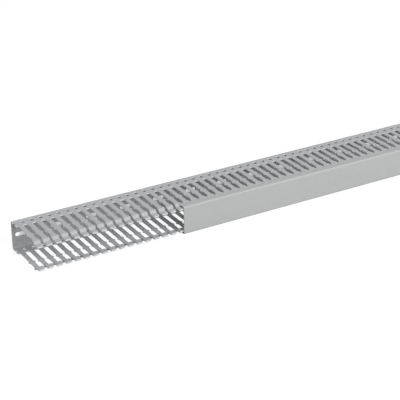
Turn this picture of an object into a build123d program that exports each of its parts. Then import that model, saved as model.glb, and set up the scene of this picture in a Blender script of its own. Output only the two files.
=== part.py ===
"""Slotted wire duct with its push-fit cover, lying on one side wall.

Millimetres. X runs along the duct, Y from the cover (-) to the mounting base (+), Z is up.
The origin is on the floor, under the middle of the box that holds duct and cover together.
The cover is slid along the duct, so that the first slots stand open.
"""
from build123d import *
import os

# Stock: both pieces are cut to the same length
stock_length = 1000.0
cover_slide_out = 208.0
section_width = 40.0
section_height = 80.0

# Walls of the slotted body
side_wall = 1.6
base_wall = 1.8
outer_corner_radius = 1.6
inner_corner_radius = 0.8

# Punching of the side walls, with depths measured from the back of the base
pitch = 12.5
slot_width = 6.5
slot_start = 17.8
neck_middle = 47.2
neck_width = 3.0
neck_slope = 2.6
shoulder_start = 62.6
shoulder_end = 64.6
slit_width = 3.0
slit_width_at_tip = 4.8
cable_tie_hole_width = 4.8
cable_tie_hole_length = 6.0
cable_tie_hole_depth = 9.2

# Mounting holes in the base
mounting_hole_width = 5.5
mounting_hole_length = 16.0
mounting_hole_pitch = 50.0
first_mounting_hole = 12.5
mounting_hole_count = 20

# Cover: a flat plate with two legs that hook over the finger heads
cover_plate = 1.5
cover_leg_wall = 1.2
cover_leg_length = 12.5
cover_outer_radius = 2.4
cover_inner_radius = 1.1
hook_reach = 2.0
hook_back_slope = 3.0
hook_front_slope = 1.2

# Finger heads: each has a groove for the hook, a bead that holds it and a sloping nose
clearance = 0.3
groove_clearance = 0.5
hook_engagement = 0.4
bead_slope = 0.7
nose_slope = 1.2
nose_wall = 2.0
head_wall = 2.6
head_bend_wall = 0.9
head_inner_slope = 3.4

# Places that follow from the sizes above
front_y = -section_height / 2
base_y = section_height / 2
duct_left_x = -(stock_length + cover_slide_out) / 2
cover_left_x = duct_left_x + cover_slide_out
middle_z = section_width / 2
finger_tip_y = front_y + cover_plate + clearance
step_y = front_y + cover_leg_length + clearance
groove_y = front_y + cover_leg_length - hook_back_slope
hook_tip_z = cover_leg_wall + hook_reach
groove_z = hook_tip_z + groove_clearance
bead_z = hook_tip_z - hook_engagement
head_inner_z = bead_z + head_wall
head_inner_y = groove_y + head_bend_wall
cell_count = round(stock_length / pitch)


def outermost_pair(corners):
    """The corners of a section that lie nearest to its two side walls."""
    ordered = corners.sort_by(Axis.Y)
    return [ordered[0], ordered[-1]]


def body_half_section():
    """Outline of the lower half of the slotted body, from the base to the finger tip and back."""
    Polyline(
        (base_y, middle_z),
        (base_y, 0),
        (step_y, 0),
        (groove_y, groove_z),
        (groove_y - bead_slope, bead_z),
        (finger_tip_y + nose_slope, bead_z),
        (finger_tip_y, head_inner_z - nose_wall),
        (finger_tip_y, head_inner_z),
        (head_inner_y, head_inner_z),
        (head_inner_y + head_inner_slope, side_wall),
        (base_y - base_wall, side_wall),
        (base_y - base_wall, middle_z),
    )


def slot_half_outline():
    """Outline of one side of a finger slot, from its closed end to past the finger tips."""
    half_slot = slot_width / 2
    Polyline(
        (0, base_y - slot_start),
        (half_slot, base_y - slot_start),
        (half_slot, base_y - neck_middle + neck_slope),
        (neck_width / 2, base_y - neck_middle),
        (half_slot, base_y - neck_middle - neck_slope),
        (half_slot, base_y - shoulder_start),
        (slit_width / 2, base_y - shoulder_end),
        (slit_width_at_tip / 2, finger_tip_y),
        (slit_width_at_tip / 2, front_y),
        (0, front_y),
        close=False,
    )


# Slotted body: one extruded and punched length
with BuildPart() as slotted_body:
    with BuildSketch(Plane.YZ.offset(duct_left_x)) as body_section:
        with BuildLine():
            body_half_section()
            mirror(about=Plane.XZ.offset(-middle_z))
        make_face()
        fillet(outermost_pair(body_section.vertices().group_by(Axis.X)[-2]), inner_corner_radius)
        fillet(outermost_pair(body_section.vertices().group_by(Axis.X)[-1]), outer_corner_radius)
    extrude(amount=stock_length)

    # The end cuts pass through the middle of a slot, so each end carries half slots and half holes
    with BuildSketch(Plane.XY) as punching:
        with Locations(*[(duct_left_x + cell * pitch, 0) for cell in range(cell_count + 1)]):
            with BuildSketch(mode=Mode.PRIVATE) as finger_slot:
                with BuildLine():
                    slot_half_outline()
                    mirror(about=Plane.YZ)
                make_face()
            add(finger_slot.sketch)
        with Locations(
            *[(duct_left_x + cell * pitch, base_y - cable_tie_hole_depth) for cell in range(cell_count + 1)]
        ):
            Rectangle(cable_tie_hole_width, cable_tie_hole_length)
    extrude(amount=section_width, mode=Mode.SUBTRACT)

    # Mounting holes on the middle line of the base
    with BuildSketch(Plane.XZ.offset(-base_y)) as mounting_holes:
        with Locations(
            *[
                (duct_left_x + first_mounting_hole + hole * mounting_hole_pitch, middle_z)
                for hole in range(mounting_hole_count)
            ]
        ):
            SlotOverall(mounting_hole_length, mounting_hole_width)
    extrude(amount=base_wall, mode=Mode.SUBTRACT)

# Cover: one plain extruded length
with BuildPart() as cover:
    with BuildSketch(Plane.YZ.offset(cover_left_x)) as cover_section:
        with BuildLine():
            Polyline(
                (front_y, middle_z),
                (front_y, 0),
                (front_y + cover_leg_length, 0),
                (groove_y, hook_tip_z),
                (groove_y - hook_front_slope, cover_leg_wall),
                (front_y + cover_plate, cover_leg_wall),
                (front_y + cover_plate, middle_z),
            )
            mirror(about=Plane.XZ.offset(-middle_z))
        make_face()
        fillet(outermost_pair(cover_section.vertices().group_by(Axis.X)[1]), cover_inner_radius)
        fillet(outermost_pair(cover_section.vertices().group_by(Axis.X)[0]), cover_outer_radius)
    extrude(amount=stock_length)

slotted_body.part.label = "slotted_body"
cover.part.label = "cover"

os.makedirs("parts", exist_ok=True)
export_step(slotted_body.part, "parts/slotted_body.step")
export_step(cover.part, "parts/cover.step")
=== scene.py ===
"""Looks of a slotted wiring duct and its cover, laid out as a Blender add-on and run as a script.

Metres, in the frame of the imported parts: X along the duct, Y from the cover to the mounting base, Z up.
The punched body is made from a flat blank, which is punched first and folded onto its section after.
"""
import math

import bmesh
import bpy
from bpy.props import FloatProperty, FloatVectorProperty, IntProperty, PointerProperty
from mathutils import Matrix, Vector


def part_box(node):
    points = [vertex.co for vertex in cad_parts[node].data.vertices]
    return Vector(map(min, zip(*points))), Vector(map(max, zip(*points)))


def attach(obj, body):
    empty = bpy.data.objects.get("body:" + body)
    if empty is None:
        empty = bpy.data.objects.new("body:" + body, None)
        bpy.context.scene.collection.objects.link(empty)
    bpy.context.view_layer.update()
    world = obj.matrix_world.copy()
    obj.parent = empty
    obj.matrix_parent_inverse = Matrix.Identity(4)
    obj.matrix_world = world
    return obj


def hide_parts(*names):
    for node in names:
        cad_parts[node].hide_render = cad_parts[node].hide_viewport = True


bl_info = {
    "name": "Slotted wiring duct",
    "version": (1, 0, 0),
    "blender": (4, 5, 0),
    "location": "3D View > Sidebar > Wiring duct",
    "description": "Builds a punched wiring duct with its cover, and a pale stage to show it on",
    "category": "Add Mesh",
}

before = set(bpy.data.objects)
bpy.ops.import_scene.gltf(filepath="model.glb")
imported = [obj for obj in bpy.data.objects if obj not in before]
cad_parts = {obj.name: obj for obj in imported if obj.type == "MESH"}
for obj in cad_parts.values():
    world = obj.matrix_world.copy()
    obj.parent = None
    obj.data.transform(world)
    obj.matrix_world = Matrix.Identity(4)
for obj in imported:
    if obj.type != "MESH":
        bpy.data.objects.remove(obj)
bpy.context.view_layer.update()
duct_low, duct_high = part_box("slotted_body")
cover_low, cover_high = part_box("cover")

# Half the width of the base, and the distance from the back of the base to the finger tips
half_base = (duct_high.z - duct_low.z) / 2
tip_depth = duct_high.y - duct_low.y

# Two places that are closer than this are the same place
TOLERANCE = 1e-6
# Faces that meet at more than this angle have a sharp edge between them
CREASE_ANGLE = math.radians(35)
# Columns of faces in the blank for each finger slot
COLUMNS = 4
WHITE = (1, 1, 1, 1)


def number(name, description, default, **kind):
    """A plain number, or one with the unit or subtype that is given."""
    return FloatProperty(name=name, description=description, default=default, **kind)


def length(name, description, default):
    """A size in metres."""
    return number(name, description, default, unit="LENGTH", precision=5)


def degrees(name, description, default):
    """An angle, given in degrees."""
    return number(name, description, math.radians(default), subtype="ANGLE")


def fraction(name, description, default):
    """A number from 0 to 1."""
    return number(name, description, default, subtype="FACTOR", min=0, max=1)


def colour(name, description, default):
    """A linear colour, shown as a swatch."""
    return FloatVectorProperty(
        name=name, description=description, default=default, subtype="COLOR", min=0, max=1
    )


def towards(name, description, default):
    """A direction."""
    return FloatVectorProperty(
        name=name, description=description, default=default, subtype="DIRECTION"
    )


class DuctSizes(bpy.types.PropertyGroup):
    """Sizes of the punched body. Depths are measured from the back of the base."""

    pitch: length("Pitch", "Distance from one finger slot to the next", 0.0125)
    side_wall: length("Side wall", "Thickness of the side walls", 0.0016)
    base_wall: length("Base wall", "Thickness of the base", 0.0018)
    outer_corner: length("Outer corner", "Radius of the base corners outside", 0.0016)
    inner_corner: length("Inner corner", "Radius of the base corners inside", 0.0008)
    slot_width: length("Slot width", "Width of a finger slot", 0.0065)
    slot_corner: length("Slot corner", "Radius at the closed end of a slot", 0.0016)
    slot_start: length("Slot start", "Depth of the closed end of the slots", 0.0178)
    neck_middle: length("Neck depth", "Depth of the narrow neck of a slot", 0.0472)
    neck_width: length("Neck width", "Width of a slot at its neck", 0.003)
    neck_slope: length("Neck slope", "Length over which a slot narrows to its neck", 0.0034)
    shoulder_start: length("Shoulder start", "Depth where the finger heads begin to widen", 0.0626)
    shoulder_end: length("Shoulder end", "Depth where the finger heads are wide", 0.0646)
    slit_width: length("Slit width", "Gap between two heads at the shoulder", 0.003)
    slit_width_at_tip: length("Slit width at tip", "Gap between two heads at the tip", 0.0048)
    tip_corner: length("Tip corner", "Radius of the corners of a head", 0.0012)
    tie_hole_width: length("Tie hole width", "Width of a cable tie hole", 0.0048)
    tie_hole_length: length("Tie hole length", "Length of a cable tie hole across the wall", 0.006)
    tie_hole_depth: length("Tie hole depth", "Depth of the middle of the tie holes", 0.0092)
    screw_slot_width: length("Screw slot width", "Width of a screw slot in the base", 0.0055)
    screw_slot_length: length("Screw slot length", "Length of a screw slot in the base", 0.016)
    cells_per_screw_slot: IntProperty(
        name="Cells per screw slot", description="Finger slots from one screw slot to the next",
        default=4, min=2,
    )
    bend: length("Bend", "Depth where a head bends in to make room for the legs of the cover", 0.0672)
    bend_slope: length("Bend slope", "Length over which the outside of a head bends in", 0.0033)
    groove: length("Groove", "How far in the groove for the hooks of the cover lies", 0.0035)
    bead_slope: length("Bead slope", "Length over which a head rises to its bead", 0.0009)
    bead: length("Bead", "How far in the bead beside the groove lies", 0.0029)
    nose_length: length("Nose length", "Length of the rounded nose of a head", 0.0012)
    nose_drop: length("Nose drop", "How far the rounded nose curves in", 0.0007)
    inner_bend: length("Inner bend", "Depth where the inside of a head bends in", 0.0662)
    inner_bend_slope: length("Inner bend slope", "Length over which the inside bends in", 0.0034)
    inside: length("Inside", "How far in the inner face of a head lies", 0.0054)
    rim: length("Rim", "Width of the broken edge round every punched hole", 0.00022)


class CoverSizes(bpy.types.PropertyGroup):
    """Sizes of the cover's section."""

    plate: length("Plate", "Thickness of the front plate", 0.0015)
    leg_wall: length("Leg wall", "Thickness of the two legs", 0.0012)
    outer_corner: length("Outer corner", "Radius of the front corners outside", 0.0024)
    inner_corner: length("Inner corner", "Radius of the front corners inside", 0.0011)
    hook_reach: length("Hook reach", "How far the hooks reach in", 0.0020)
    hook_back_slope: length("Hook back", "Length of the slope behind the tip of a hook", 0.0030)
    hook_front_slope: length("Hook front", "Length of the slope in front of the tip of a hook", 0.0012)
    hook_edge: length("Hook edge", "Radius at the tip of a hook", 0.0004)
    leg_edge: length("Leg edge", "Radius at the free end of a leg", 0.00036)
    rim: length("Rim", "Width of the broken edge of the sawn ends", 0.00008)


class FinishSettings(bpy.types.PropertyGroup):
    """Colours and textures of the plastic, and colours of the stage floor."""

    duct: colour("Duct", "Colour of the punched body", (0.45, 0.455, 0.47))
    cover: colour("Cover", "Colour of the cover", (0.435, 0.445, 0.44))
    # Lighter colour of the punched and sawn faces: partly whitened plastic, partly a painted highlight on
    # the faces and broken edges that turn sideways
    rim: colour("Cut faces", "Colour of the whitened punched and sawn faces", (0.66, 0.67, 0.68))
    duct_roughness: fraction("Duct roughness", "Mean roughness of the punched body", 0.56)
    cover_roughness: fraction("Cover roughness", "Mean roughness of the cover", 0.54)
    duct_lines: fraction("Duct lines", "Strength of the faint lines in the body's colour", 0.16)
    cover_lines: fraction("Cover lines", "Strength of the faint lines in the cover's colour", 0.12)
    gloss_lines: fraction("Gloss lines", "Strength of the faint lines in the roughness", 0.16)
    mottling: fraction("Mottling", "Strength of the mottling in colour and roughness", 0.10)
    contrast: fraction("Contrast", "How far a full line or spot lies from the plain colour", 0.28)
    relief: fraction("Relief", "Strength of the fine relief of the lines and the grain", 0.12)
    floor: colour("Floor", "Colour of the stage floor as the camera sees it", (0.9, 0.9, 0.9))
    floor_bounce: colour(
        "Floor bounce", "Colour of the light that the floor gives back", (0.55, 0.55, 0.55)
    )


class StageSettings(bpy.types.PropertyGroup):
    """The camera, the lights and the floor."""

    aim: FloatVectorProperty(
        name="Aim", description="Point that the camera and the lights face",
        default=(-0.34656, 0.00374, 0.020), subtype="XYZ", unit="LENGTH",
    )
    distance: length("Distance", "Distance from the camera to that point", 1.7419)
    azimuth: degrees("Azimuth", "Turn of the view from +Y towards +X", 30.229)
    elevation: degrees("Elevation", "Angle at which the camera looks down", 25.538)
    roll: degrees("Roll", "Turn of the camera about its line of sight", -0.601)
    lens: number("Lens", "Focal length on a 36 mm sensor", 116.7, unit="CAMERA")
    front_power: number("Front light", "Power of the light in front", 84.0, unit="POWER")
    front_side: towards("Front light side", "Direction in which it lies", (0.3, -1.0, 0.7))
    back_power: number("Back light", "Power of the light behind", 20.0, unit="POWER")
    back_side: towards("Back light side", "Direction in which it lies", (-0.6, 0.9, 0.7))
    light_distance: length("Light distance", "Distance from both lights to the point", 3.2)
    light_size: length("Light size", "Width of the square face of each light", 2.0)
    sky: fraction("Sky", "Strength of the even light from all round", 0.45)
    floor_reach: length("Floor reach", "Distance from the middle of the floor to its edges", 30.0)
    floor_white: number("Floor white", "Strength of the plain white of the floor", 1.1)
    floor_glow: fraction("Floor glow", "How much of the floor shows as plain white", 0.8)
    shadow_glow: fraction("Shadow glow", "The same, on the strip of floor behind the duct", 0.05)
    strip_width: length("Strip width", "Width of that strip", 0.045)
    strip_fade: length("Strip fade", "Width over which its long sides fade into the floor", 0.020)


def blend(start, end, share):
    """The number or vector that lies at a share of the way from start to end."""
    return start + (end - start) * share


def share_between(low, high, value):
    """How far a value lies on the way from low to high, held between 0 and 1."""
    return min(1.0, max(0.0, (value - low) / (high - low)))


def smooth_step(low, high, value):
    """Rises smoothly from 0 at low to 1 at high."""
    share = share_between(low, high, value)
    return share * share * (3 - 2 * share)


def eased_ramp(low, high, value):
    """Rises from 0 at low to 1 at high, straight with eased ends."""
    easing = 0.4
    return blend(share_between(low, high, value), smooth_step(low, high, value), easing)


def rounding(radius, reach):
    """How much a rounded corner takes off at a reach past the start of its arc."""
    reach = min(max(reach, 0.0), radius)
    return radius - math.sqrt(radius**2 - reach**2)


def half_slot(sizes, depth):
    """Half the width of a finger slot at a depth: round end, neck, shoulders and flared mouth."""
    half = sizes.slot_width / 2
    half -= rounding(sizes.slot_corner, sizes.slot_start + sizes.slot_corner - depth)
    neck = 1 - eased_ramp(0, sizes.neck_slope, abs(depth - sizes.neck_middle))
    half -= neck * (sizes.slot_width - sizes.neck_width) / 2
    shoulder = smooth_step(sizes.shoulder_start, sizes.shoulder_end, depth)
    half -= shoulder * (sizes.slot_width - sizes.slit_width) / 2
    flare = share_between(sizes.shoulder_end, tip_depth, depth)
    half += flare * (sizes.slit_width_at_tip - sizes.slit_width) / 2
    return half + rounding(sizes.tip_corner, depth - tip_depth + sizes.tip_corner)


def head_outside(sizes, depth):
    """How far in from the side plane the outside of a wall lies at a depth."""
    groove_depth = sizes.bend + sizes.bend_slope
    inset = sizes.groove * eased_ramp(sizes.bend, groove_depth, depth)
    rise = smooth_step(groove_depth, groove_depth + sizes.bead_slope, depth)
    inset -= (sizes.groove - sizes.bead) * rise
    return inset + sizes.nose_drop * rounding(1, 1 - (tip_depth - depth) / sizes.nose_length)


def head_inside(sizes, depth):
    """How far in from the side plane the inside of a wall lies at a depth."""
    rise = eased_ramp(sizes.inner_bend, sizes.inner_bend + sizes.inner_bend_slope, depth)
    return sizes.side_wall + rise * (sizes.inside - sizes.side_wall)


def finger_rows(sizes):
    """Depths of the rows of vertices along a finger, closest together where it bends or widens."""
    groove_depth = sizes.bend + sizes.bend_slope
    nose_start = tip_depth - sizes.nose_length
    rows = [sizes.slot_start + sizes.slot_corner * s for s in (0.08, 0.3, 0.62, 1)]
    rows += [sizes.neck_middle + sizes.neck_slope * s for s in (-1, -0.85, -0.15, 0, 0.15, 0.85, 1)]
    rows += [blend(sizes.shoulder_start, sizes.shoulder_end, s) for s in (0, 0.3, 0.7, 1)]
    rows += [sizes.inner_bend, sizes.bend]
    rows += [sizes.bend + sizes.bend_slope * s for s in (0.12, 0.28, 0.5, 0.72, 0.88, 1)]
    rows += [groove_depth + sizes.bead_slope * s for s in (0.3, 0.7, 1)]
    return rows + [nose_start + sizes.nose_length * s for s in (0, 0.42, 0.76, 1)]


def fold_reach(sizes):
    """How far from the corner the fold reaches into the base, and how far into the side wall."""
    return sizes.side_wall + sizes.inner_corner, sizes.base_wall + sizes.inner_corner


def blank_rows(sizes, screw_block, tie_block):
    """Places across half of the blank, from its middle line to the closed ends of the slots.

    A screw slot and a tie hole are each punched in a block of faces, given by half its width.
    """
    into_base, into_wall = fold_reach(sizes)
    support = sizes.inner_corner / 2
    tie_middle = half_base + sizes.tie_hole_depth
    rows = [0, screw_block / 2, screw_block, half_base - into_base - support]
    rows += [half_base + blend(-into_base, into_wall, s) for s in (0, 0.25, 0.5, 0.75, 1)]
    rows += [half_base + into_wall + support]
    rows += [tie_middle + tie_block * s for s in (-1, -0.5, 0, 0.5, 1)]
    return rows + [half_base + sizes.slot_start]


def everything_in(bm):
    """All the vertices, edges and faces of a bmesh."""
    return [*bm.verts, *bm.edges, *bm.faces]


def vertices_of(geometry):
    """The vertices among the things that an operator made."""
    return [item for item in geometry if isinstance(item, bmesh.types.BMVert)]


def round_off(bm, edges, width, segments):
    """Rounds edges, or breaks them with one flat face each where there is one segment."""
    bmesh.ops.bevel(
        bm, geom=edges, offset=width, segments=segments, profile=0.5, affect="EDGES", material=-1
    )


def punch(bm, centre, half_block, half_line, radius):
    """Turns the block of faces round a centre into a ring of faces with a round-ended hole in it.

    The hole is as wide as two radii, and its middle line runs from -half_line to half_line.
    """
    def within(point):
        """Whether a point lies inside the block."""
        offset = point - centre
        return all(abs(offset[axis]) < half_block[axis] for axis in (0, 1))

    # The inset only has to make the ring, because its inner vertices are moved to the hole after
    thin_inset = radius / 20
    block = [face for face in bm.faces if within(face.calc_center_median())]
    bmesh.ops.inset_region(
        bm, faces=block, thickness=thin_inset, use_even_offset=True, use_boundary=True
    )
    inner = dict.fromkeys(vertex for face in block for vertex in face.verts)
    bmesh.ops.delete(bm, geom=block, context="FACES")
    rim = [vertex for vertex in inner if vertex.is_valid]
    along = half_line.normalized()
    aside = Vector((-along.y, along.x, 0))
    for end in (-1, 1):
        arc = [v for v in rim if (v.co - centre).dot(along) * end > half_line.length]
        middle = centre + half_line * end
        arc.sort(key=lambda v: math.atan2((v.co - middle).dot(aside), (v.co - middle).dot(along) * end))
        for place, vertex in enumerate(arc):
            angle = blend(-math.pi / 2, math.pi / 2, place / (len(arc) - 1))
            vertex.co = middle + radius * (along * (end * math.cos(angle)) + aside * math.sin(angle))
        rim = [vertex for vertex in rim if vertex not in arc]
    for vertex in rim:
        offset = vertex.co - centre
        side = math.copysign(radius, offset.dot(aside))
        vertex.co = centre + along * offset.dot(along) + aside * side


def grow_fingers(bm, sizes, slot_middles):
    """Extrudes the fingers of both walls, row by row, from the closed ends of the slots to the tips."""
    column = sizes.pitch / COLUMNS
    closed_end = half_base + sizes.slot_start

    def shift(place):
        """Moves a vertex of the column beside a slot's middle to the edge of that slot."""
        middle = min(slot_middles, key=lambda x: abs(x - place.x))
        offset = place.x - middle
        if TOLERANCE < abs(offset) < 1.5 * column:
            place.x = middle + math.copysign(half_slot(sizes, abs(place.y) - half_base), offset)

    def is_finger_root(edge, side):
        """Whether an edge lies at the root of a finger of one wall, and not across a slot's end."""
        first, second = (vertex.co for vertex in edge.verts)
        if any(abs(end.y - side * closed_end) > TOLERANCE for end in (first, second)):
            return False
        return all(abs(blend(first.x, second.x, 0.5) - x) > column for x in slot_middles)

    for vertex in bm.verts:
        if abs(abs(vertex.co.y) - closed_end) < TOLERANCE:
            shift(vertex.co)
    for side in (-1, 1):
        edges = [edge for edge in bm.edges if is_finger_root(edge, side)]
        for depth in finger_rows(sizes):
            made = bmesh.ops.extrude_edge_only(bm, edges=edges)["geom"]
            vertices = vertices_of(made)
            made_edges = [item for item in made if isinstance(item, bmesh.types.BMEdge)]
            edges = [edge for edge in made_edges if all(end in vertices for end in edge.verts)]
            for vertex in vertices:
                vertex.co.y = side * (half_base + depth)
                shift(vertex.co)


def make_blank(sizes):
    """One screw slot's length of the flat blank, with both walls.

    Y is the place across the blank, and X is measured from the middle of the screw slot.
    """
    cells = sizes.cells_per_screw_slot
    half_length = cells * sizes.pitch / 2
    slot_middles = [(cell + 0.5) * sizes.pitch - half_length for cell in range(cells)]
    screw_middle = slot_middles[1]
    screw_block = 1.1 * sizes.screw_slot_width
    tie_block = 0.8 * sizes.tie_hole_length
    rows = blank_rows(sizes, screw_block, tie_block)
    bm = bmesh.new()
    bmesh.ops.create_grid(bm, x_segments=COLUMNS * cells, y_segments=2 * len(rows) - 2, size=1)
    for vertex in bm.verts:
        row = round(vertex.co.y * (len(rows) - 1))
        vertex.co = Vector((vertex.co.x * half_length, math.copysign(rows[abs(row)], row), 0))

    screw_line = Vector(((sizes.screw_slot_length - sizes.screw_slot_width) / 2, 0, 0))
    tie_line = Vector((0, (sizes.tie_hole_length - sizes.tie_hole_width) / 2, 0))
    centre = Vector((screw_middle, 0, 0))
    punch(bm, centre, (sizes.pitch, screw_block), screw_line, sizes.screw_slot_width / 2)
    for middle in slot_middles:
        for side in (-1, 1):
            centre = Vector((middle, side * (half_base + sizes.tie_hole_depth), 0))
            punch(bm, centre, (sizes.pitch / 2, tie_block), tie_line, sizes.tie_hole_width / 2)
    grow_fingers(bm, sizes, slot_middles)
    bmesh.ops.translate(bm, verts=bm.verts, vec=(-screw_middle, 0, 0))
    return bm


def repeat_along_duct(bm, sizes):
    """Lays copies of the blank in a row along the duct, joins them and cuts the row to length."""
    first_screw_slot = duct_low.x + sizes.pitch
    step = sizes.cells_per_screw_slot * sizes.pitch
    copies = math.ceil((duct_high.x - first_screw_slot) / step)
    bmesh.ops.translate(bm, verts=bm.verts, vec=(first_screw_slot, 0, 0))
    blank = everything_in(bm)
    for place in range(1, copies + 1):
        copy = bmesh.ops.duplicate(bm, geom=blank)["geom"]
        bmesh.ops.translate(bm, verts=vertices_of(copy), vec=(place * step, 0, 0))
    bmesh.ops.remove_doubles(bm, verts=bm.verts, dist=TOLERANCE)
    for end, outwards in ((duct_low.x, -1), (duct_high.x, 1)):
        bmesh.ops.bisect_plane(
            bm, geom=everything_in(bm), dist=TOLERANCE, plane_co=(end, 0, 0),
            plane_no=(outwards, 0, 0), clear_outer=True,
        )


def thicken(bm, sizes):
    """Gives the blank its thickness, breaks the edges of its cuts and marks its sideways faces for
    whitened plastic and a painted highlight.
    """
    lifted = bmesh.ops.extrude_face_region(bm, geom=list(bm.faces))["geom"]
    bmesh.ops.translate(bm, verts=vertices_of(lifted), vec=(0, 0, sizes.side_wall))
    bmesh.ops.recalc_face_normals(bm, faces=bm.faces)

    def is_flat(face):
        """Whether a face lies on one of the two broad sides of the blank."""
        return abs(face.normal.z) > 0.5

    rims = [edge for edge in bm.edges if is_flat(edge.link_faces[0]) != is_flat(edge.link_faces[-1])]
    round_off(bm, rims, sizes.rim, segments=1)
    # Sideways faces get the lighter rim colour: partly whitened plastic, partly a painted highlight
    cut_and_highlight = bm.faces.layers.float.new("cut_and_highlight")
    for face in bm.faces:
        face[cut_and_highlight] = 1.0 - abs(face.normal.z)


def fold(bm, sizes):
    """Folds the flat blank onto the section, with its lower face outside and its upper face inside."""
    into_base, into_wall = fold_reach(sizes)
    inner_start = Vector((sizes.base_wall, sizes.side_wall))
    middle = (duct_low.z + duct_high.z) / 2
    for vertex in bm.verts:
        x, across, height = vertex.co
        inward = height / sizes.side_wall
        depth = abs(across) - half_base
        # A point of the section is its depth, and how far in from the side plane it lies
        if depth < -into_base - TOLERANCE:
            point = Vector((sizes.base_wall * inward, -depth))
        elif depth <= into_wall + TOLERANCE:
            angle = (depth + into_base) / (into_base + into_wall) * math.pi / 2
            turn = Vector((1 - math.cos(angle), 1 - math.sin(angle)))
            point = blend(turn * sizes.outer_corner, inner_start + turn * sizes.inner_corner, inward)
        else:
            point = Vector((depth, blend(head_outside(sizes, depth), head_inside(sizes, depth), inward)))
        from_middle = math.copysign(half_base - point.y, across)
        vertex.co = Vector((x, duct_high.y - point.x, middle + from_middle))


def finish_mesh(name, bm):
    """Makes an object of a bmesh, smooth but for its creases."""
    mesh = bpy.data.meshes.new(name)
    bm.to_mesh(mesh)
    bm.free()
    mesh.shade_smooth()
    mesh.set_sharp_from_angle(angle=CREASE_ANGLE)
    piece = bpy.data.objects.new(name, mesh)
    bpy.context.scene.collection.objects.link(piece)
    even_shading = piece.modifiers.new("even_shading", "WEIGHTED_NORMAL")
    even_shading.keep_sharp = True
    return piece


def make_punched_body(sizes):
    """The whole punched body, from the flat blank to the folded section."""
    bm = make_blank(sizes)
    repeat_along_duct(bm, sizes)
    thicken(bm, sizes)
    fold(bm, sizes)
    bmesh.ops.recalc_face_normals(bm, faces=bm.faces)
    return finish_mesh("punched_body", bm)


def make_cover(sizes):
    """The whole cover: its section as one face, extruded to length, with rounded long edges."""
    half_width = (cover_high.z - cover_low.z) / 2
    cover_length = cover_high.x - cover_low.x
    hook_tip = cover_high.y - sizes.hook_back_slope
    inside_front = cover_low.y + sizes.plate
    lower_half = [
        (cover_low.y, 0),
        (cover_low.y, -half_width),
        (cover_high.y, -half_width),
        (hook_tip, sizes.leg_wall + sizes.hook_reach - half_width),
        (hook_tip - sizes.hook_front_slope, sizes.leg_wall - half_width),
        (inside_front, sizes.leg_wall - half_width),
        (inside_front, 0),
    ]
    bm = bmesh.new()
    bm.faces.new([bm.verts.new((cover_low.x, y, z)) for y, z in lower_half])
    bmesh.ops.mirror(bm, geom=everything_in(bm), matrix=Matrix(), merge_dist=TOLERANCE, axis="Z")
    bmesh.ops.translate(bm, verts=bm.verts, vec=(0, 0, cover_low.z + half_width))
    bmesh.ops.recalc_face_normals(bm, faces=bm.faces)
    bmesh.ops.dissolve_limit(bm, angle_limit=0.01, verts=bm.verts, edges=bm.edges)
    made = bmesh.ops.extrude_face_region(bm, geom=list(bm.faces), use_keep_orig=True)["geom"]
    bmesh.ops.translate(bm, verts=vertices_of(made), vec=(cover_length, 0, 0))
    bmesh.ops.recalc_face_normals(bm, faces=bm.faces)

    def long_edges(y):
        """The edges that run along the whole cover at one place in Y."""
        long = [edge for edge in bm.edges if edge.calc_length() > cover_length / 2]
        return [edge for edge in long if abs(edge.verts[0].co.y - y) < TOLERANCE]

    def faces_end(face):
        """Whether a face is a sawn end, or part of the broken edge round one."""
        return abs(face.normal.x) > 0.5

    round_off(bm, long_edges(cover_low.y), sizes.outer_corner, segments=8)
    round_off(bm, long_edges(inside_front), sizes.inner_corner, segments=5)
    round_off(bm, long_edges(cover_high.y), sizes.leg_edge, segments=3)
    round_off(bm, long_edges(hook_tip), sizes.hook_edge, segments=3)
    outlines = [edge for face in bm.faces if faces_end(face) for edge in face.edges]
    round_off(bm, outlines, sizes.rim, segments=1)
    # The sawn ends and their broken edges get the lighter rim colour: partly whitened plastic, partly a
    # painted highlight
    cut_and_highlight = bm.faces.layers.float.new("cut_and_highlight")
    for face in bm.faces:
        face[cut_and_highlight] = float(faces_end(face))
    return finish_mesh("plain_cover", bm)


class Signal:
    """A socket of a material's nodes. Arithmetic on it adds Math nodes."""

    def __init__(self, graph, socket):
        self.graph = graph
        self.socket = socket

    def __add__(self, other):
        return self.graph.math("ADD", self, other)

    def __mul__(self, other):
        return self.graph.math("MULTIPLY", self, other)

    def __sub__(self, other):
        return self.graph.math("SUBTRACT", self, other)

    def __rsub__(self, other):
        return self.graph.math("SUBTRACT", other, self)

    __radd__ = __add__
    __rmul__ = __mul__


class Graph:
    """The nodes of one material or of the world."""

    def __init__(self, owner):
        owner.use_nodes = True
        self.tree = owner.node_tree
        self.tree.nodes.clear()

    def node(self, kind, settings=None, inputs=None, output=0):
        """Adds a node: first its settings, then the values or links of its sockets.

        Returns the output of the given number or name, or nothing if the node has no outputs.
        """
        made = self.tree.nodes.new("ShaderNode" + kind)
        for name, value in (settings or {}).items():
            setattr(made, name, value)
        for name, value in (inputs or {}).items():
            socket = next(s for s in made.inputs if name in (s.name, s.identifier) and s.enabled)
            if isinstance(value, Signal):
                self.tree.links.new(value.socket, socket)
            else:
                socket.default_value = value
        return Signal(self, made.outputs[output]) if made.outputs else None

    def math(self, operation, first, second):
        """A Math node."""
        return self.node("Math", {"operation": operation}, {"Value": first, "Value_001": second})

    def noise(self, place, stretch, scale, detail):
        """Noise from 0 to 1 on a place that is first stretched along its axes."""
        factors = {"Vector": place, "Vector_001": stretch}
        stretched = self.node("VectorMath", {"operation": "MULTIPLY"}, factors)
        return self.node("TexNoise", {}, {"Vector": stretched, "Scale": scale, "Detail": detail})

    def mix_colours(self, factor, first, second):
        """A blend of two colours."""
        colours = {"Factor_Float": factor, "A_Color": first, "B_Color": second}
        return self.node("Mix", {"data_type": "RGBA"}, colours, output=2)

    def mix_shaders(self, factor, first, second):
        """A blend of two shaders."""
        return self.node("MixShader", {}, {"Fac": factor, "Shader": first, "Shader_001": second})


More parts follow.
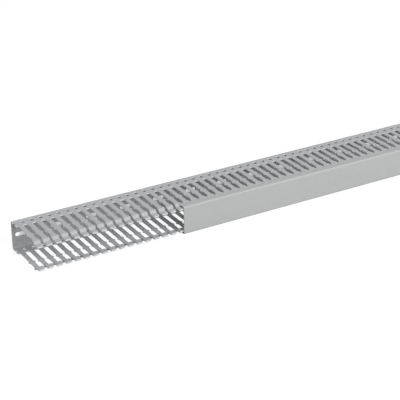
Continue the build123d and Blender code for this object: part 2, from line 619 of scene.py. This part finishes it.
def plastic(name, base, lines_in_colour, roughness, finish):
    """Satin extruded plastic, with faint lines along the extrusion and soft mottling.

    The rim colour, partly whitened plastic and partly a painted highlight, goes on the punched and sawn
    faces that the mesh attribute marks.
    """
    material = bpy.data.materials.new(name)
    graph = Graph(material)
    place = graph.node("TexCoord", output="Object")
    lines = graph.noise(place, stretch=(2, 900, 900), scale=1, detail=2)
    mottle = graph.noise(place, stretch=(1, 1, 1), scale=60, detail=3)
    grain = graph.noise(place, stretch=(1, 1, 1), scale=2500, detail=2)
    cut_and_highlight = graph.node("Attribute", {"attribute_name": "cut_and_highlight"}, output="Fac")
    shade = (lines - 0.5) * lines_in_colour + (mottle - 0.5) * finish.mottling
    darker = [channel * (1 - finish.contrast) for channel in base]
    lighter = [min(1, channel * (1 + finish.contrast)) for channel in base]
    uncut = graph.mix_colours(shade + 0.5, (*darker, 1), (*lighter, 1))
    # Painted highlight and whitened plastic on the punched and sawn faces
    painted = graph.mix_colours(cut_and_highlight, uncut, (*finish.rim, 1))
    uneven = (lines - 0.5) * finish.gloss_lines + (mottle - 0.5) * finish.mottling + roughness
    height = lines * 0.5 + grain * 0.5
    relief = {"Strength": finish.relief, "Distance": 0.0002, "Height": height}
    bump = graph.node("Bump", {}, relief)
    surface = {"Base Color": painted, "Roughness": uneven, "Normal": bump, "IOR": 1.5}
    graph.node("OutputMaterial", {}, {"Surface": graph.node("BsdfPrincipled", {}, surface)})
    return material


def seen_by_camera(graph):
    """1 for rays that come straight from the camera, and 0 for light on its way to the object."""
    return graph.node("LightPath", output="Is Camera Ray")


def strip_behind(graph, stage):
    """1 on the strip of floor that is hidden behind the duct but for the screw slots, and 0 elsewhere.

    The strip slants as the photograph's view does, so that its ends stay behind the duct.
    """
    width = stage.strip_width
    fade = stage.strip_fade
    end_fade = fade / 3
    place = graph.node("TexCoord", output="Object")

    def coordinate(axis):
        """How far along an axis a point of the floor lies."""
        return graph.node("SeparateXYZ", {}, {"Vector": place}, output=axis)

    def step(value, start, end):
        """Goes smoothly from 0 at start to 1 at end."""
        limits = {"Value": value, "From Min": start, "From Max": end}
        return graph.node("MapRange", {"interpolation_type": "SMOOTHSTEP"}, limits)

    behind = coordinate("Y") - duct_high.y
    along = coordinate("X") - behind * math.tan(stage.azimuth)
    left_end = step(along, duct_low.x, duct_low.x + end_fade)
    right_end = step(along, duct_high.x, duct_high.x - end_fade)
    return left_end * right_end * step(behind, -fade, 0) * step(behind, width + fade, width)


def make_floor(finish, stage):
    """A large white floor that keeps a soft shadow, deeper on the strip behind the duct."""
    bm = bmesh.new()
    bmesh.ops.create_grid(bm, x_segments=1, y_segments=1, size=stage.floor_reach)
    floor = finish_mesh("floor", bm)
    material = bpy.data.materials.new("white_floor")
    graph = Graph(material)
    bounce = graph.node("BsdfDiffuse", {}, {"Color": (*finish.floor_bounce, 1)})
    shaded = graph.node("BsdfDiffuse", {}, {"Color": (*finish.floor, 1)})
    white = graph.node("Emission", {}, {"Color": WHITE, "Strength": stage.floor_white})
    strip = strip_behind(graph, stage)
    whiteness = stage.floor_glow - strip * (stage.floor_glow - stage.shadow_glow)
    seen = graph.mix_shaders(whiteness, shaded, white)
    surface = graph.mix_shaders(seen_by_camera(graph), bounce, seen)
    graph.node("OutputMaterial", {}, {"Surface": surface})
    floor.data.materials.append(material)
    return floor


def make_world(strength):
    """White behind the object, and an even light of a given strength from all round."""
    world = bpy.data.worlds.new("studio")
    bpy.context.scene.world = world
    graph = Graph(world)
    level = seen_by_camera(graph) * (1 - strength) + strength
    light = graph.node("Background", {}, {"Color": WHITE, "Strength": level})
    graph.node("OutputWorld", {}, {"Surface": light})


def make_light(name, stage, side, power):
    """A large soft light that faces the aimed point, and lies to one side of it."""
    lamp = bpy.data.lights.new(name, "AREA")
    lamp.shape = "SQUARE"
    lamp.size = stage.light_size
    lamp.energy = power
    light = bpy.data.objects.new(name, lamp)
    away = Vector(side).normalized()
    light.location = Vector(stage.aim) + stage.light_distance * away
    light.rotation_euler = away.to_track_quat("Z", "Y").to_euler()
    bpy.context.scene.collection.objects.link(light)


def make_camera(stage):
    """The camera of the photograph."""
    lens = bpy.data.cameras.new("camera")
    lens.lens = stage.lens
    lens.sensor_width = 36
    camera = bpy.data.objects.new("camera", lens)
    turn = Matrix.Rotation(-stage.azimuth, 4, "Z")
    tilt = Matrix.Rotation(math.pi / 2 - stage.elevation, 4, "X")
    roll = Matrix.Rotation(stage.roll, 4, "Z")
    aim = Matrix.Translation(Vector(stage.aim))
    back = Matrix.Translation((0, 0, stage.distance))
    camera.matrix_world = aim @ turn @ tilt @ roll @ back
    bpy.context.scene.collection.objects.link(camera)
    bpy.context.scene.camera = camera


class WIRE_DUCT_OT_build_slotted_body(bpy.types.Operator):
    """Builds the punched body of the duct"""

    bl_idname = "wire_duct.build_slotted_body"
    bl_label = "Build slotted body"

    def execute(self, context):
        finish = context.scene.duct_finish
        body = make_punched_body(context.scene.duct_sizes)
        body.data.materials.append(
            plastic("duct_plastic", finish.duct, finish.duct_lines, finish.duct_roughness, finish)
        )
        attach(body, "duct")
        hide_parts("slotted_body")
        return {"FINISHED"}


class WIRE_DUCT_OT_build_cover(bpy.types.Operator):
    """Builds the cover"""

    bl_idname = "wire_duct.build_cover"
    bl_label = "Build cover"

    def execute(self, context):
        finish = context.scene.duct_finish
        cover = make_cover(context.scene.cover_sizes)
        cover.data.materials.append(
            plastic("cover_plastic", finish.cover, finish.cover_lines, finish.cover_roughness, finish)
        )
        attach(cover, "cover")
        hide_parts("cover")
        return {"FINISHED"}


class WIRE_DUCT_OT_build_stage(bpy.types.Operator):
    """Builds the floor, the light and the camera"""

    bl_idname = "wire_duct.build_stage"
    bl_label = "Build stage"

    def execute(self, context):
        stage = context.scene.duct_stage
        make_floor(context.scene.duct_finish, stage)
        make_world(stage.sky)
        make_light("front_light", stage, stage.front_side, stage.front_power)
        make_light("back_light", stage, stage.back_side, stage.back_power)
        make_camera(stage)
        context.scene.view_settings.view_transform = "Standard"
        return {"FINISHED"}


class WIRE_DUCT_PT_panel(bpy.types.Panel):
    """Lists the sizes and the steps of the wiring duct"""

    bl_idname = "WIRE_DUCT_PT_panel"
    bl_label = "Wiring duct"
    bl_space_type = "VIEW_3D"
    bl_region_type = "UI"
    bl_category = "Wiring duct"

    def draw(self, context):
        for settings in PROPERTIES:
            group = getattr(context.scene, settings)
            column = self.layout.column()
            for name in group.__annotations__:
                column.prop(group, name)
        for operator in OPERATORS:
            self.layout.operator(operator.bl_idname)


OPERATORS = (
    WIRE_DUCT_OT_build_slotted_body,
    WIRE_DUCT_OT_build_cover,
    WIRE_DUCT_OT_build_stage,
)
PROPERTIES = {
    "duct_sizes": DuctSizes,
    "cover_sizes": CoverSizes,
    "duct_finish": FinishSettings,
    "duct_stage": StageSettings,
}


def register():
    """Adds the panel, the operators and the settings to Blender."""
    for name, group in PROPERTIES.items():
        bpy.utils.register_class(group)
        setattr(bpy.types.Scene, name, PointerProperty(type=group))
    for item in (*OPERATORS, WIRE_DUCT_PT_panel):
        bpy.utils.register_class(item)


def unregister():
    """Takes them out again."""
    for item in reversed((*OPERATORS, WIRE_DUCT_PT_panel)):
        bpy.utils.unregister_class(item)
    for name, group in reversed(PROPERTIES.items()):
        delattr(bpy.types.Scene, name)
        bpy.utils.unregister_class(group)


def main():
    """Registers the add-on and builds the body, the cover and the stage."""
    register()
    bpy.ops.wire_duct.build_slotted_body()
    bpy.ops.wire_duct.build_cover()
    bpy.ops.wire_duct.build_stage()


if __name__ == "__main__":
    main()
